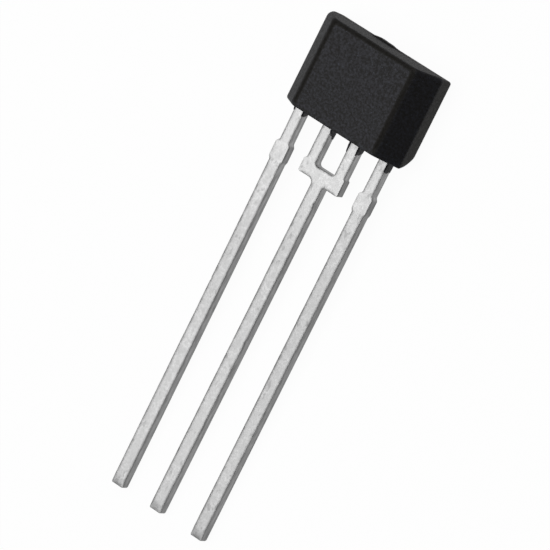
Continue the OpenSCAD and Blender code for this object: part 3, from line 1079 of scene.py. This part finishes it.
def build_camera(s):
    """The camera, a long way off through a long lens."""
    right, up, back = camera_axes(s)
    place = to_row(np.array([s.aim]))[0] + back * s.distance
    data = bpy.data.cameras.new("camera")
    data.lens = s.lens
    data.clip_start = 0.01
    data.clip_end = 10.0
    camera = add_object("camera", data)
    camera.matrix_world = Matrix((*np.array([right, up, back, place]).T, (0, 0, 0, 1)))
    bpy.context.scene.camera = camera


def build_lamp(name, direction, side, power):
    """A square softbox in a direction of the upright frame, facing the sensor's middle."""
    data = bpy.data.lights.new(name, "AREA")
    data.shape = "SQUARE"
    data.size = side
    data.energy = power
    towards = Vector(np.array(direction, float) @ AXES).normalized()
    lamp = add_object(name, data)
    lamp.location = towards * SOFTBOX_DISTANCE
    lamp.rotation_mode = "QUATERNION"
    lamp.rotation_quaternion = towards.to_track_quat("Z", "Y")


def floor_material(s):
    """Pale floor: plain diffuse colour, with a share of even white wherever it is seen or reflected."""
    m = Shader("white_floor")
    path = m.add("LightPath").outputs
    seen = m.math("MAXIMUM", path["Is Camera Ray"], m.math(
        "MAXIMUM", path["Is Glossy Ray"], path["Is Transmission Ray"]))
    diffuse = m.add("BsdfDiffuse", {"Color": rgba(s.floor)})
    white = m.add("Emission", {"Color": (1, 1, 1, 1), "Strength": 1.0})
    both = m.add("MixShader", {
        0: m.math("MULTIPLY", seen, s.floor_white), 1: diffuse.outputs[0], 2: white.outputs[0]})
    m.put(m.output, "Surface", both.outputs[0])
    return m.material


def build_floor(s):
    """A large square floor just under the sensor."""
    half, level = FLOOR_SIDE / 2, cad_box[0][2]
    corners = [(-half, -half, level), (half, -half, level), (half, half, level), (-half, half, level)]
    mesh = bpy.data.meshes.new("floor")
    mesh.from_pydata(corners, [], [(0, 1, 2, 3)])
    mesh.materials.append(floor_material(s))
    floor = add_object("floor", mesh)


def build_world(s):
    """Plain grey surroundings."""
    world = bpy.data.worlds.new("surroundings")
    world.use_nodes = True
    background = world.node_tree.nodes["Background"]
    background.inputs["Color"].default_value = (1, 1, 1, 1)
    background.inputs["Strength"].default_value = s.world
    bpy.context.scene.world = world


# ---- operators and panel


class SENSOR_OT_stage(bpy.types.Operator):
    """Set up the camera, the lamps, the floor and the surroundings"""

    bl_idname = "sensor.stage"
    bl_label = "Stage"

    def execute(self, context):
        s = context.scene.sensor_stage
        context.scene.view_settings.view_transform = "Standard"
        build_camera(s)
        for name, direction, side, power in SOFTBOXES:
            build_lamp(name, direction, side, getattr(s, power))
        build_floor(s)
        build_world(s)
        return {"FINISHED"}


class SENSOR_OT_case(bpy.types.Operator):
    """Build the moulded case with its gate scar and resin flash"""

    bl_idname = "sensor.case"
    bl_label = "Case"

    def execute(self, context):
        s = context.scene.sensor_case
        material = epoxy_material(context.scene.sensor_finish)
        case = measure_case()
        build_case(case, s, material)
        build_gate(s, material)
        build_flash(case, measure_leads(case), s, context.scene.sensor_leads, material)
        finish_node("case", material)
        return {"FINISHED"}


class SENSOR_OT_leads(bpy.types.Operator):
    """Build the three stamped and tinned leads"""

    bl_idname = "sensor.leads"
    bl_label = "Leads"

    def execute(self, context):
        material = tin_material(context.scene.sensor_finish)
        s = context.scene.sensor_leads
        case = measure_case()
        leads = measure_leads(case)
        for number, node in enumerate(LEADS):
            build_lead(node, case, leads, s, number, material)
            finish_node(node, material)
        return {"FINISHED"}


class SENSOR_OT_insides(bpy.types.Operator):
    """Give the sealed chip, its adhesive and the bond wires their finishes"""

    bl_idname = "sensor.insides"
    bl_label = "Insides"

    def execute(self, context):
        gold = gold_material()
        finishes = {"chip_adhesive": adhesive_material(), "hall_chip": silicon_material()}
        finishes.update({wire: gold for wire in WIRES})
        for node, material in finishes.items():
            finish_node(node, material)
        return {"FINISHED"}


class SENSOR_PT_panel(bpy.types.Panel):
    """Sidebar panel with the sensor's settings and steps"""

    bl_label = "Magnetic Sensor"
    bl_space_type = "VIEW_3D"
    bl_region_type = "UI"
    bl_category = "Sensor"

    def draw(self, context):
        for attribute, group, step in SETTINGS:
            box = self.layout.box()
            box.operator(step)
            for key in group.__annotations__:
                box.prop(getattr(context.scene, attribute), key)


OPERATORS = (SENSOR_OT_stage, SENSOR_OT_case, SENSOR_OT_leads, SENSOR_OT_insides)


def register():
    """Registers the settings, the operators and the panel."""
    for attribute, group, _ in SETTINGS:
        bpy.utils.register_class(group)
        setattr(bpy.types.Scene, attribute, PointerProperty(type=group))
    for operator in OPERATORS:
        bpy.utils.register_class(operator)
    bpy.utils.register_class(SENSOR_PT_panel)


def unregister():
    """Takes back what register did."""
    bpy.utils.unregister_class(SENSOR_PT_panel)
    for operator in reversed(OPERATORS):
        bpy.utils.unregister_class(operator)
    for attribute, group, _ in reversed(SETTINGS):
        delattr(bpy.types.Scene, attribute)
        bpy.utils.unregister_class(group)


def main():
    """Builds everything."""
    register()
    bpy.ops.sensor.stage()
    bpy.ops.sensor.case()
    bpy.ops.sensor.leads()
    bpy.ops.sensor.insides()


if __name__ == "__main__":
    main()
